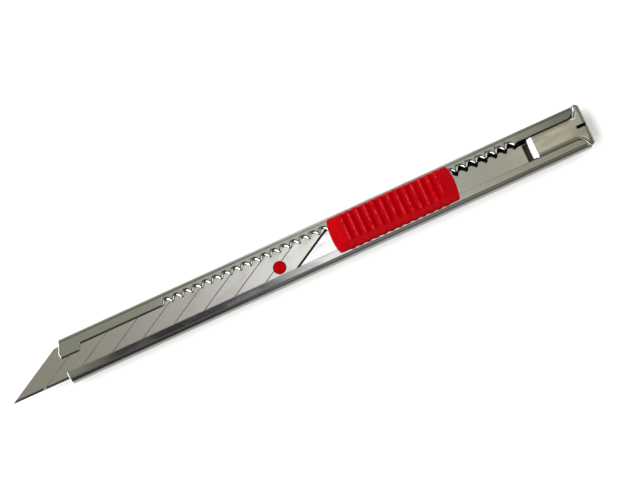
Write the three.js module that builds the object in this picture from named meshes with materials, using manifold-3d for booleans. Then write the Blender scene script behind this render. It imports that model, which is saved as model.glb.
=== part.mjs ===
// A snap-off utility knife in a pressed steel sleeve, lying on its back. Millimetres, +Z up.
// +X runs along the knife to its tail, and the blade's cutting edge is on the -Y side.
// Pieces are drawn from a reference on the back of the sleeve, half way along it. The whole knife is
// then set down on the pad of its pocket leg, with the origin under the middle of its length.
import * as THREE from 'three';
import { mergeVertices } from 'three/addons/utils/BufferGeometryUtils.js';
import Module from 'manifold-3d';

const wasm = await Module();
wasm.setup();

// Sleeve: a channel bent from sheet, open along its face between two lips.
const SHEET = 0.6;                 // sheet thickness
const SLEEVE_WIDTH = 12;
const SLEEVE_HEIGHT = 3.6;
const BEND_RADIUS = 0.9;           // outside radius of the four long bends
const SLEEVE_FRONT = -75;          // tip of the nose tab
const SLEEVE_REAR = 74.4;
const LOWER_LIP_Y = -3.1;          // inner edge of the narrow lip
const UPPER_LIP_Y = 2.7;           // inner edge of the wide lip, along the tooth crests
const NOSE_TAB_Y = 1.05;           // inner edge of the nose tab, which holds the blade down
const NOSE_TAB_REAR = -68.7;
const REAR_SLOT_Y = 3.1;           // inner edge of the wide lip beside the clip tongue

// Lock teeth, pressed out of the wide lip's inner edge.
const TOOTH_PITCH = 2.8;
const TOOTH_COUNT = 36;
const TOOTH_DEPTH = 1.2;
const TOOTH_LEAN = 0.33;           // how far each crest leans to the tail, in radians of the wave
const FIRST_NOTCH_X = -43.7;

// Blade: a scored strip whose segments snap off.
const BLADE_WIDTH = 9;
const BLADE_THICKNESS = 0.38;
const BLADE_SLANT = THREE.MathUtils.degToRad(30);
const SEGMENT_PITCH = 8.76;
const SEGMENT_COUNT = 9;
const BLADE_LENGTH = SEGMENT_COUNT * SEGMENT_PITCH;
const SCORE_WIDTH = 0.3;
const SCORE_DEPTH = 0.1;
const EDGE_BEVEL = 0.7;            // width of the ground edge
const BLADE_TIP_X = -91;
const BLADE_EDGE_Y = -4.7;

// Heights of the sliding stack, from the sleeve's floor up.
const RIVET_FOOT_Z = 0.7;
const WASHER_Z = 1.05;
const TONGUE_Z = 1.6;
const BLADE_Z = 2.35;
const PLATE_THICKNESS = 0.4;
const LOCK_Z = 3.0;
const LOCK_THICKNESS = 0.5;
const GRIP_Z = 3.75;

// Carrier.
const STUD_PLACE = [-13.1, -0.95];
const STUD_RADIUS = 1.6;
const CARRIER_REAR = 38;
const RIVET_RADIUS = 0.8;
const LOCK_PIVOT = [26.8, -0.2];
const CARRIER_RIVETS = { front: [4.4, -1.8], rear: [36.3, 0], lock: LOCK_PIVOT };
const LOCK_NOSE_X = FIRST_NOTCH_X + 22 * TOOTH_PITCH;
const FIT_GAP = 0.3;               // clearance between a pin and its hole

// Thumb grip.
const GRIP_FRONT = 2.3;
const GRIP_REAR = 37.7;
const GRIP_SIDES = [-4.4, 5.2];
const GRIP_TOP = 8.1;
const GRIP_SKIRT = 0.9;            // height of the upright edge below the slopes
const GRIP_SHIFT = 0.8;            // free play of the grip on its carrier, each way
const RIB_COUNT = 13;
const RIB_PITCH = 2.24;
const RIB_HEIGHT = 0.5;
const FIRST_RIB_X = 6.6;
const GRIP_STUDS = { front: [9, 0], rear: [32, 0] };
const GRIP_STUD_RADIUS = 1.2;
const CAM_POST = [21.8, 1.7];
const CAM_POST_RADIUS = 0.6;

// End clip, which also snaps blades and hooks in a pocket.
const CLIP_SHEET = 0.5;
const CLIP_HALF_WIDTH = 2.8;
const CLIP_REAR = 75.2;
const CLIP_CORNER = 1.3;
const SNAP_SLIT_X = 72.2;
const SNAP_SLIT_WIDTH = 0.9;
const CATCH_WINDOW = [57.4, 59];   // window in the sleeve's floor for the clip's catch
const POCKET_PAD_Z = -1.5;         // underside of the pocket leg's flat pad, on which the knife lies

const STAINLESS = { color: 0x9fa19a, roughness: 0.22, metalness: 1 };
const BLADE_STEEL = { color: 0xb4b3ae, roughness: 0.28, metalness: 1 };
const SPRING_STEEL = { color: 0x8f9092, roughness: 0.35, metalness: 1 };
const RIVET_STEEL = { color: 0xa5a5a3, roughness: 0.3, metalness: 1 };
const RED_PLASTIC = { color: 0xc00010, roughness: 0.38, metalness: 0 };

const ALONG_X = new THREE.Matrix4().makeBasis(
  new THREE.Vector3(0, 1, 0), new THREE.Vector3(0, 0, 1), new THREE.Vector3(1, 0, 0));
const ALONG_MINUS_Y = new THREE.Matrix4().makeBasis(
  new THREE.Vector3(1, 0, 0), new THREE.Vector3(0, 0, 1), new THREE.Vector3(0, -1, 0));

/** Turns a closed three.js geometry into a solid that can be cut and joined. */
function solidOf(geometry) {
  geometry.deleteAttribute('normal');
  geometry.deleteAttribute('uv');
  const merged = mergeVertices(geometry, 1e-5);
  const vertProperties = new Float32Array(merged.attributes.position.array);
  const triVerts = new Uint32Array(merged.index.array);
  return new wasm.Manifold(new wasm.Mesh({ numProp: 3, vertProperties, triVerts }));
}

/** Turns a cut solid back into a three.js geometry. */
function geometryOf(solid) {
  const mesh = solid.getMesh();
  const geometry = new THREE.BufferGeometry();
  geometry.setAttribute('position', new THREE.BufferAttribute(mesh.vertProperties, mesh.numProp));
  geometry.setIndex(new THREE.BufferAttribute(mesh.triVerts, 1));
  geometry.computeVertexNormals();
  return geometry;
}

/** Extrudes a closed shape or a list of [a, b] points by a depth. */
function extrude(outline, depth, curveSegments = 6) {
  const shape = outline instanceof THREE.Shape
    ? outline
    : new THREE.Shape(outline.map(([a, b]) => new THREE.Vector2(a, b)));
  return new THREE.ExtrudeGeometry(shape, { depth, curveSegments, bevelEnabled: false });
}

/** A solid with a plan outline in X and Y, between two heights. */
function plate(outline, bottom, top, curveSegments) {
  return solidOf(extrude(outline, top - bottom, curveSegments).translate(0, 0, bottom));
}

/** A solid with a cross section in Y and Z, between two places along X. */
function bar(section, front, rear, curveSegments) {
  return solidOf(extrude(section, rear - front, curveSegments).applyMatrix4(ALONG_X).translate(front, 0, 0));
}

/** A solid with a side outline in X and Z, between two places across Y. */
function slab(outline, lowY, highY) {
  return solidOf(extrude(outline, highY - lowY).applyMatrix4(ALONG_MINUS_Y).translate(0, highY, 0));
}

/** An upright round pin at a place in plan. */
function pin([x, y], radius, bottom, top, segments = 20) {
  const cylinder = new THREE.CylinderGeometry(radius, radius, top - bottom, segments);
  return solidOf(cylinder.rotateX(Math.PI / 2).translate(x, y, (bottom + top) / 2));
}

/** An upright slot cutter with round ends, long along X. */
function slotPin([x, y], radius, travel, bottom, top) {
  const slot = new THREE.Shape();
  slot.absarc(x - travel, y, radius, Math.PI / 2, 1.5 * Math.PI);
  slot.absarc(x + travel, y, radius, -Math.PI / 2, Math.PI / 2);
  return plate(slot, bottom, top);
}

/** A turned piece from its [radius, height] profile, standing at the origin. */
function turned(profile, segments = 20) {
  const points = profile.map(([radius, height]) => new THREE.Vector2(radius, height));
  return new THREE.LatheGeometry(points, segments).rotateX(Math.PI / 2);
}

/** The outline of a bent strip of even thickness along a list of [a, b] points. */
function ribbon(path, thickness) {
  const sides = [[], []];
  path.forEach(([a, b], i) => {
    const before = path[Math.max(i - 1, 0)];
    const after = path[Math.min(i + 1, path.length - 1)];
    const incoming = new THREE.Vector2(a - before[0], b - before[1]).normalize();
    const outgoing = new THREE.Vector2(after[0] - a, after[1] - b).normalize();
    if (i === 0) incoming.copy(outgoing);
    if (i === path.length - 1) outgoing.copy(incoming);
    const along = incoming.clone().add(outgoing).normalize();
    const reach = thickness / 2 / along.dot(incoming);
    sides[0].push([a - along.y * reach, b + along.x * reach]);
    sides[1].unshift([a + along.y * reach, b - along.x * reach]);
  });
  return [...sides[0], ...sides[1]];
}

/** Height of the wide lip's inner edge above the centre line at a place along the teeth. */
function toothEdge(x) {
  const phase = 2 * Math.PI * (x - FIRST_NOTCH_X) / TOOTH_PITCH;
  const wave = 1.3 * Math.cos(phase + TOOTH_LEAN * (Math.cos(phase) - 1));
  return UPPER_LIP_Y + TOOTH_DEPTH * (1 + THREE.MathUtils.clamp(wave, -1, 1)) / 2;
}

/** The cross section of the bent channel, with the wide lip out to the nose tab's edge. */
function channelSection() {
  const half = SLEEVE_WIDTH / 2;
  const inner = half - SHEET;
  const roof = SLEEVE_HEIGHT - SHEET;
  const tight = BEND_RADIUS - SHEET;
  const quarter = Math.PI / 2;
  const section = new THREE.Shape();
  section.moveTo(NOSE_TAB_Y, roof);
  section.absarc(inner - tight, roof - tight, tight, quarter, 0, true);
  section.absarc(inner - tight, SHEET + tight, tight, 0, -quarter, true);
  section.absarc(-inner + tight, SHEET + tight, tight, -quarter, -2 * quarter, true);
  section.absarc(-inner + tight, roof - tight, tight, 2 * quarter, quarter, true);
  section.lineTo(LOWER_LIP_Y, roof);
  section.lineTo(LOWER_LIP_Y, SLEEVE_HEIGHT);
  section.absarc(-half + BEND_RADIUS, SLEEVE_HEIGHT - BEND_RADIUS, BEND_RADIUS, quarter, 2 * quarter);
  section.absarc(-half + BEND_RADIUS, BEND_RADIUS, BEND_RADIUS, 2 * quarter, 3 * quarter);
  section.absarc(half - BEND_RADIUS, BEND_RADIUS, BEND_RADIUS, -quarter, 0);
  section.absarc(half - BEND_RADIUS, SLEEVE_HEIGHT - BEND_RADIUS, BEND_RADIUS, 0, quarter);
  section.lineTo(NOSE_TAB_Y, SLEEVE_HEIGHT);
  return section;
}

/** The sleeve's outline seen from above: nose, rounded front corner and rounded tail. */
function sleevePlan() {
  const half = SLEEVE_WIDTH / 2 + 0.1;
  const frontCorner = 1.3;
  const rearCorner = 1.3;
  const lowerFront = SLEEVE_FRONT + 0.3;
  const plan = new THREE.Shape();
  plan.moveTo(SLEEVE_FRONT + 1.7, half);
  plan.lineTo(SLEEVE_FRONT + 0.8, 3.95);
  plan.lineTo(SLEEVE_FRONT, 2.8);
  plan.lineTo(lowerFront, NOSE_TAB_Y);
  plan.absarc(lowerFront + frontCorner, -half + frontCorner, frontCorner, Math.PI, 1.5 * Math.PI);
  plan.absarc(SLEEVE_REAR - rearCorner, -half + rearCorner, rearCorner, -Math.PI / 2, 0);
  plan.absarc(SLEEVE_REAR - rearCorner, half - rearCorner, rearCorner, 0, Math.PI / 2);
  return plan;
}

/** The opening behind the nose tab whose upper edge is the row of lock teeth. */
function toothedSlot() {
  const samples = 10;
  const start = FIRST_NOTCH_X - TOOTH_PITCH / 2;
  const edge = [[NOSE_TAB_REAR - 0.8, 0], [NOSE_TAB_REAR - 0.8, NOSE_TAB_Y], [NOSE_TAB_REAR, UPPER_LIP_Y]];
  for (let i = 0; i <= TOOTH_COUNT * samples; i += 1) {
    const x = start + i * TOOTH_PITCH / samples;
    edge.push([x, toothEdge(x)]);
  }
  edge.push([start + TOOTH_COUNT * TOOTH_PITCH + 1, REAR_SLOT_Y], [CLIP_REAR, REAR_SLOT_Y], [CLIP_REAR, 0]);
  return edge.reverse();
}

/** The flared plan of the clip's cap, grown all round by a margin. */
function capPlan(margin = 0) {
  const narrow = CLIP_HALF_WIDTH + margin;
  const wide = SLEEVE_WIDTH / 2 + margin;
  const rear = CLIP_REAR + margin;
  const plan = new THREE.Shape();
  plan.moveTo(70, -narrow);
  plan.lineTo(71.5 - margin, -narrow);
  plan.quadraticCurveTo(73.2 - margin, -narrow - 0.4, 73.6 - margin, -wide);
  plan.absarc(rear - CLIP_CORNER, -wide + CLIP_CORNER, CLIP_CORNER, -Math.PI / 2, 0);
  plan.absarc(rear - CLIP_CORNER, wide - CLIP_CORNER, CLIP_CORNER, 0, Math.PI / 2);
  plan.lineTo(73.6 - margin, wide);
  plan.quadraticCurveTo(73.2 - margin, narrow + 0.4, 71.5 - margin, narrow);
  plan.lineTo(70, narrow);
  return plan;
}

/** The sleeve: a bent channel with a nose tab, toothed lip, relief for the cap and catch window. */
function makeSleeve() {
  const reliefFloor = SLEEVE_HEIGHT - CLIP_SHEET - FIT_GAP;
  const [windowFront, windowRear] = CATCH_WINDOW;
  const windowHalf = CLIP_HALF_WIDTH + 0.1;
  const window = [
    [windowFront, -windowHalf], [windowRear, -windowHalf],
    [windowRear, windowHalf], [windowFront, windowHalf],
  ];
  return geometryOf(
    bar(channelSection(), SLEEVE_FRONT, SLEEVE_REAR, 4)
      .intersect(plate(sleevePlan(), -1, SLEEVE_HEIGHT + 1))
      .subtract(plate(toothedSlot(), SLEEVE_HEIGHT - 1.2, SLEEVE_HEIGHT + 1))
      .subtract(plate(capPlan(FIT_GAP), reliefFloor, SLEEVE_HEIGHT + 1))
      .subtract(plate(window, -1, SHEET + 1)));
}

/** The snap-off blade: a slanted strip with a ground edge, scored lines and a hole for the stud. */
function makeBlade() {
  const slope = BLADE_WIDTH / Math.tan(BLADE_SLANT);
  const top = BLADE_Z + BLADE_THICKNESS;
  const backY = BLADE_EDGE_Y + BLADE_WIDTH;
  const edgeFlat = 0.04;
  const section = [
    [BLADE_EDGE_Y, BLADE_Z + BLADE_THICKNESS / 2 - edgeFlat / 2],
    [BLADE_EDGE_Y + EDGE_BEVEL, BLADE_Z], [backY, BLADE_Z], [backY, top],
    [BLADE_EDGE_Y + EDGE_BEVEL, top], [BLADE_EDGE_Y, BLADE_Z + BLADE_THICKNESS / 2 + edgeFlat / 2],
  ];
  const plan = (from, to) => [
    [BLADE_TIP_X + from, BLADE_EDGE_Y], [BLADE_TIP_X + to, BLADE_EDGE_Y],
    [BLADE_TIP_X + to + slope, backY], [BLADE_TIP_X + from + slope, backY],
  ];
  let blade = bar(section, BLADE_TIP_X, BLADE_TIP_X + BLADE_LENGTH + slope)
    .intersect(plate(plan(0, BLADE_LENGTH), BLADE_Z - 1, top + 1))
    .subtract(pin(STUD_PLACE, STUD_RADIUS + FIT_GAP, BLADE_Z - 1, top + 1, 24));
  for (let i = 1; i < SEGMENT_COUNT; i += 1) {
    const start = i * SEGMENT_PITCH;
    blade = blade.subtract(plate(plan(start, start + SCORE_WIDTH), top - SCORE_DEPTH, top + 1));
  }
  return geometryOf(blade);
}

/** The carrier's lower strip, which runs under the blade to the stud. */
function makeTongue() {
  const front = -17;
  const half = 3.9;
  const corner = 2.4;
  const plan = new THREE.Shape();
  plan.absarc(front + corner, -half + corner, corner, Math.PI, 1.5 * Math.PI);
  plan.lineTo(CARRIER_REAR, -half);
  plan.lineTo(CARRIER_REAR, half);
  plan.absarc(front + corner, half - corner, corner, Math.PI / 2, Math.PI);
  const body = plate(plan, TONGUE_Z, TONGUE_Z + SHEET)
    .subtract(pin(STUD_PLACE, STUD_RADIUS + FIT_GAP, 0, 4));
  return geometryOf(drillCarrier(body));
}

/** The carrier's upper plate at blade height, cut to the slant of the blade's tail. */
function makePlate() {
  const low = BLADE_EDGE_Y + 0.2;
  const high = 4.3;
  const turnY = 2.4;                // where the slanted front edge turns away from the blade's tail
  const gap = 1.1;                  // gap to the blade's tail, measured along X
  const slantX = (y) => BLADE_TIP_X + BLADE_LENGTH + gap + (y - BLADE_EDGE_Y) / Math.tan(BLADE_SLANT);
  const plan = [
    [slantX(low), low], [CARRIER_REAR, low], [CARRIER_REAR, high],
    [slantX(turnY) + 4.2, high], [slantX(turnY) + 1.5, turnY + 0.6], [slantX(turnY), turnY],
  ];
  return geometryOf(drillCarrier(plate(plan, BLADE_Z, BLADE_Z + PLATE_THICKNESS)));
}

/** Cuts the rivet holes and the grip studs' slots that both carrier sheets share. */
function drillCarrier(body) {
  let drilled = body;
  for (const place of Object.values(CARRIER_RIVETS)) {
    drilled = drilled.subtract(pin(place, RIVET_RADIUS + FIT_GAP, 0, 4));
  }
  for (const place of Object.values(GRIP_STUDS)) {
    drilled = drilled.subtract(slotPin(place, GRIP_STUD_RADIUS + FIT_GAP, GRIP_SHIFT + 0.2, 0, 4));
  }
  return drilled;
}

/** The moulded stud that fills the blade's hole, with a flange under the tongue. */
function makeBladeStud() {
  const flange = STUD_RADIUS + 0.7;
  const crown = BLADE_Z + BLADE_THICKNESS + 0.1;
  return turned([
    [0, WASHER_Z], [flange, WASHER_Z], [flange, WASHER_Z + 0.35], [STUD_RADIUS, WASHER_Z + 0.35],
    [STUD_RADIUS, crown], [STUD_RADIUS - 0.3, crown + 0.08],
    [STUD_RADIUS * 0.5, crown + 0.14], [0, crown + 0.15],
  ], 28);
}

/** A carrier rivet: a flat foot under the tongue and a low head on top of what it holds. */
function makeRivet(stackTop) {
  const foot = RIVET_RADIUS + 0.6;
  const footTop = TONGUE_Z - 0.1;
  const headBottom = stackTop + 0.1;
  const headTop = headBottom + 0.3;
  return turned([
    [0, RIVET_FOOT_Z], [foot, RIVET_FOOT_Z], [foot, footTop], [RIVET_RADIUS, footTop],
    [RIVET_RADIUS, headBottom], [foot, headBottom], [foot - 0.2, headTop], [0, headTop],
  ]);
}

/** The lock spring: a lever whose nose drops into a notch, with a cam notch for the grip's post. */
function makeLockSpring() {
  const [pivotX, pivotY] = LOCK_PIVOT;
  const [camX] = CAM_POST;
  const nose = UPPER_LIP_Y + TOOTH_DEPTH - FIT_GAP;
  const plan = [
    [LOCK_NOSE_X - 2, -0.4], [pivotX - 2.2, -0.6],
    [pivotX - 1.6, pivotY - 1.9], [pivotX + 2.4, pivotY - 1.9],
    [pivotX + 2.4, pivotY + 1.9], [pivotX - 2, pivotY + 1.9],
    [camX + 1.2, 1.9], [camX, 0.5], [camX - 1.2, 1.9],
    [LOCK_NOSE_X + 0.9, 2.1], [LOCK_NOSE_X + 0.3, nose],
    [LOCK_NOSE_X - 0.3, nose], [LOCK_NOSE_X - 0.9, 2.1], [LOCK_NOSE_X - 2, 1.6],
  ];
  const pivotHole = pin(LOCK_PIVOT, RIVET_RADIUS + FIT_GAP, 2, 4);
  return geometryOf(plate(plan, LOCK_Z, LOCK_Z + LOCK_THICKNESS).subtract(pivotHole));
}

/** The thumb grip's side outline in X and Z: sloped ends and a ribbed top. */
function gripOutline() {
  const valley = GRIP_TOP - RIB_HEIGHT;
  const shoulder = GRIP_Z + GRIP_SKIRT;
  const outline = [[GRIP_FRONT, GRIP_Z], [GRIP_FRONT, shoulder], [FIRST_RIB_X - RIB_PITCH / 2, valley]];
  for (let i = 0; i < RIB_COUNT; i += 1) {
    const x = FIRST_RIB_X + i * RIB_PITCH;
    outline.push([x - 0.75, GRIP_TOP - 0.25], [x - 0.35, GRIP_TOP]);
    outline.push([x + 0.35, GRIP_TOP], [x + 0.75, GRIP_TOP - 0.25], [x + RIB_PITCH / 2, valley]);
  }
  outline.push([GRIP_REAR, shoulder], [GRIP_REAR, GRIP_Z]);
  return outline.reverse();
}

/** The thumb grip's plan, with ends that bulge between rounded corners. */
function gripPlan() {
  const [low, high] = GRIP_SIDES;
  const inset = 0.8;
  const bulge = 0.7;
  const plan = new THREE.Shape();
  plan.moveTo(GRIP_FRONT + bulge + inset, low);
  plan.lineTo(GRIP_REAR - bulge - inset, low);
  plan.quadraticCurveTo(GRIP_REAR - bulge, low, GRIP_REAR - bulge, low + inset);
  plan.quadraticCurveTo(GRIP_REAR + bulge, (low + high) / 2, GRIP_REAR - bulge, high - inset);
  plan.quadraticCurveTo(GRIP_REAR - bulge, high, GRIP_REAR - bulge - inset, high);
  plan.lineTo(GRIP_FRONT + bulge + inset, high);
  plan.quadraticCurveTo(GRIP_FRONT + bulge, high, GRIP_FRONT + bulge, high - inset);
  plan.quadraticCurveTo(GRIP_FRONT - bulge, (low + high) / 2, GRIP_FRONT + bulge, low + inset);
  plan.quadraticCurveTo(GRIP_FRONT + bulge, low, GRIP_FRONT + bulge + inset, low);
  return plan;
}

/** The moulded grip: ribbed above, recessed below, with two stud bosses and the cam post. */
function makeGrip() {
  const [low, high] = GRIP_SIDES;
  const shoulder = GRIP_Z + GRIP_SKIRT;
  const wall = 1.2;
  const recessTop = GRIP_Z + 1.4;
  const sideSlope = 1.1;
  const section = [
    [low, GRIP_Z], [high, GRIP_Z], [high, shoulder], [high - sideSlope, GRIP_TOP],
    [low + sideSlope, GRIP_TOP], [low, shoulder],
  ];
  const recessPlan = [
    [GRIP_FRONT + 2, low + wall], [GRIP_REAR - 2, low + wall],
    [GRIP_REAR - 2, high - wall], [GRIP_FRONT + 2, high - wall],
  ];
  let recess = plate(recessPlan, GRIP_Z - 1, recessTop);
  for (const place of Object.values(GRIP_STUDS)) {
    recess = recess.subtract(pin(place, GRIP_STUD_RADIUS + 1.1, GRIP_Z - 2, recessTop + 1));
  }
  let grip = slab(gripOutline(), low, high)
    .intersect(bar(section, GRIP_FRONT, GRIP_REAR))
    .intersect(plate(gripPlan(), GRIP_Z - 1, GRIP_TOP + 1))
    .subtract(recess)
    .add(pin(CAM_POST, CAM_POST_RADIUS, LOCK_Z + 0.05, recessTop + 0.5));
  for (const place of Object.values(GRIP_STUDS)) {
    grip = grip.subtract(pin(place, GRIP_STUD_RADIUS + FIT_GAP, GRIP_Z - 1, GRIP_Z + 2));
  }
  return geometryOf(grip);
}

/** A grip stud: a shoulder pin from the grip's boss down to its foot under the washer. */
function makeGripStud() {
  const foot = GRIP_STUD_RADIUS + 0.7;
  const top = GRIP_Z + 1.7;
  const footTop = RIVET_FOOT_Z + 0.25;
  return turned([
    [0, RIVET_FOOT_Z], [foot, RIVET_FOOT_Z], [foot, footTop],
    [GRIP_STUD_RADIUS, footTop], [GRIP_STUD_RADIUS, top], [0, top],
  ]);
}

/** The washer that carries a grip stud against the tongue. */
function makeGripWasher() {
  const inner = GRIP_STUD_RADIUS + FIT_GAP;
  const outer = inner + 1;
  const top = WASHER_Z + 0.35;
  return turned([
    [inner, WASHER_Z], [outer, WASHER_Z], [outer, top], [inner, top], [inner, WASHER_Z],
  ], 24);
}

/** The end clip: one bent strip with a catch, face tongue, end wall and pocket leg, and a flared cap. */
function makeEndClip() {
  const faceZ = SLEEVE_HEIGHT - CLIP_SHEET / 2;
  const endX = CLIP_REAR - CLIP_SHEET / 2;
  const padZ = POCKET_PAD_Z + CLIP_SHEET / 2;
  const strip = slab(ribbon([
    [58.7, SHEET + 0.3], [58.95, 2.55], [60.2, faceZ], [endX, faceZ], [endX, -0.45],
    [72, -0.55], [62, padZ], [47, padZ], [42.5, -0.5], [40.5, -0.5], [37.5, padZ + 0.2],
  ], CLIP_SHEET), -CLIP_HALF_WIDTH, CLIP_HALF_WIDTH);
  const cap = plate(capPlan(), SLEEVE_HEIGHT - CLIP_SHEET, SLEEVE_HEIGHT);
  const wallHalf = SLEEVE_WIDTH / 2 - CLIP_CORNER;
  const endWall = slab([
    [CLIP_REAR - CLIP_SHEET, -0.2], [CLIP_REAR, -0.2], [CLIP_REAR, faceZ], [CLIP_REAR - CLIP_SHEET, faceZ],
  ], -wallHalf, wallHalf);
  const slitHalf = SNAP_SLIT_WIDTH / 2;
  const slit = plate([
    [SNAP_SLIT_X, -slitHalf], [CLIP_REAR + 1, -slitHalf], [CLIP_REAR + 1, slitHalf], [SNAP_SLIT_X, slitHalf],
  ], 0.3, SLEEVE_HEIGHT + 1);
  return geometryOf(strip.add(cap).add(endWall).subtract(slit));
}

/** Names a geometry as one piece, with a material of its own. */
function piece(name, geometry, finish, place = [0, 0]) {
  const mesh = new THREE.Mesh(geometry, new THREE.MeshStandardMaterial(finish));
  mesh.name = name;
  mesh.position.set(place[0], place[1], 0);
  return mesh;
}

/** The carrier group: the two sheets, the blade, its stud, the lock spring and the rivets. */
function makeCarrierGroup() {
  const carrier = new THREE.Group();
  carrier.add(
    piece('carrier_tongue', makeTongue(), SPRING_STEEL),
    piece('carrier_plate', makePlate(), STAINLESS),
    piece('snap_blade', makeBlade(), BLADE_STEEL),
    piece('blade_stud', makeBladeStud(), RED_PLASTIC, STUD_PLACE),
    piece('lock_spring', makeLockSpring(), SPRING_STEEL));
  for (const [end, place] of Object.entries(CARRIER_RIVETS)) {
    const stackTop = end === 'lock' ? LOCK_Z + LOCK_THICKNESS : BLADE_Z + PLATE_THICKNESS;
    carrier.add(piece(`carrier_rivet_${end}`, makeRivet(stackTop), RIVET_STEEL, place));
  }
  return carrier;
}

/** The grip group: the moulded grip with its two studs and washers. */
function makeGripGroup() {
  const grip = new THREE.Group();
  grip.add(piece('thumb_grip', makeGrip(), RED_PLASTIC));
  for (const [end, place] of Object.entries(GRIP_STUDS)) {
    grip.add(piece(`grip_stud_${end}`, makeGripStud(), RIVET_STEEL, place));
    grip.add(piece(`grip_washer_${end}`, makeGripWasher(), SPRING_STEEL, place));
  }
  return grip;
}

const group = new THREE.Group();
group.position.set(-(BLADE_TIP_X + CLIP_REAR) / 2, 0, -POCKET_PAD_Z);
group.add(
  piece('sleeve', makeSleeve(), STAINLESS),
  piece('end_clip', makeEndClip(), STAINLESS),
  makeCarrierGroup(),
  makeGripGroup());

export default group;
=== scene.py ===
"""The looks of a snap-off utility knife: bent steel sleeve, scored blade, red grip and end clip."""

from __future__ import annotations

import functools
import logging
import math
from dataclasses import dataclass, field
from enum import Enum
from typing import Callable, Sequence

import bmesh
import bpy
import numpy as np
from mathutils import Matrix, Vector


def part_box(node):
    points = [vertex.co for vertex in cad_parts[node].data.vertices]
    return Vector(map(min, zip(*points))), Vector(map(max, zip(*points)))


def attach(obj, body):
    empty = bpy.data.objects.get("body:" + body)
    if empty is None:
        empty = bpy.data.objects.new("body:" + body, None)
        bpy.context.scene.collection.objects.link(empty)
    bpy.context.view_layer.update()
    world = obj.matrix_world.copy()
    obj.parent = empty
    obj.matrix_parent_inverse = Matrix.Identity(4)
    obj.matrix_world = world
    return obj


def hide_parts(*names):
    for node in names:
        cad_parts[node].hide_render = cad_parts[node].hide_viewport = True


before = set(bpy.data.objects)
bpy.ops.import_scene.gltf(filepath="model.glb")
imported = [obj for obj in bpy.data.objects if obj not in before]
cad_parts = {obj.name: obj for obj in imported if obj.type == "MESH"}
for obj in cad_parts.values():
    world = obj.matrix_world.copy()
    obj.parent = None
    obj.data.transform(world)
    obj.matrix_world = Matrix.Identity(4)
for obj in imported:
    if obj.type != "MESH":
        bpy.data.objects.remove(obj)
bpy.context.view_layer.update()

MM = 0.001
NOISE_ROUGHNESS = 0.55
LOG = logging.getLogger("knife")


class Slot(Enum):
    """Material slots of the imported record."""

    SLEEVE = "sleeve_steel"
    CLIP = "clip_steel"
    BLADE = "blade_steel"
    CARRIER = "carrier_steel"
    SPRING = "spring_steel"
    RIVET = "rivet_steel"
    MOULDING = "red_moulding"


class Body(Enum):
    """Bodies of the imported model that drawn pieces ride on."""

    SLEEVE = "sleeve"
    CLIP = "end_clip"
    CARRIER = "carrier"
    GRIP = "grip"


# ---------------------------------------------------------------- shader nodes


class Value:
    """A number that flows between shader nodes, so that sums are written as Python."""

    def __init__(self, graph: Graph, socket: bpy.types.NodeSocket) -> None:
        """Wraps an output socket of a node in the graph."""
        self.graph = graph
        self.socket = socket

    def _math(self, operation: str, first: Number, second: Number) -> Value:
        """Adds one Math node and returns its result."""
        return self.graph.node("ShaderNodeMath", {"operation": operation}, {0: first, 1: second})

    def __add__(self, other: Number) -> Value:
        """Sum."""
        return self._math("ADD", self, other)

    def __radd__(self, other: Number) -> Value:
        """Sum with a number on the left."""
        return self._math("ADD", other, self)

    def __sub__(self, other: Number) -> Value:
        """Difference."""
        return self._math("SUBTRACT", self, other)

    def __rsub__(self, other: Number) -> Value:
        """Difference from a number on the left."""
        return self._math("SUBTRACT", other, self)

    def __mul__(self, other: Number) -> Value:
        """Product."""
        return self._math("MULTIPLY", self, other)

    def __rmul__(self, other: Number) -> Value:
        """Product with a number on the left."""
        return self._math("MULTIPLY", other, self)


Number = Value | float
Colour = tuple[float, float, float]


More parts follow.
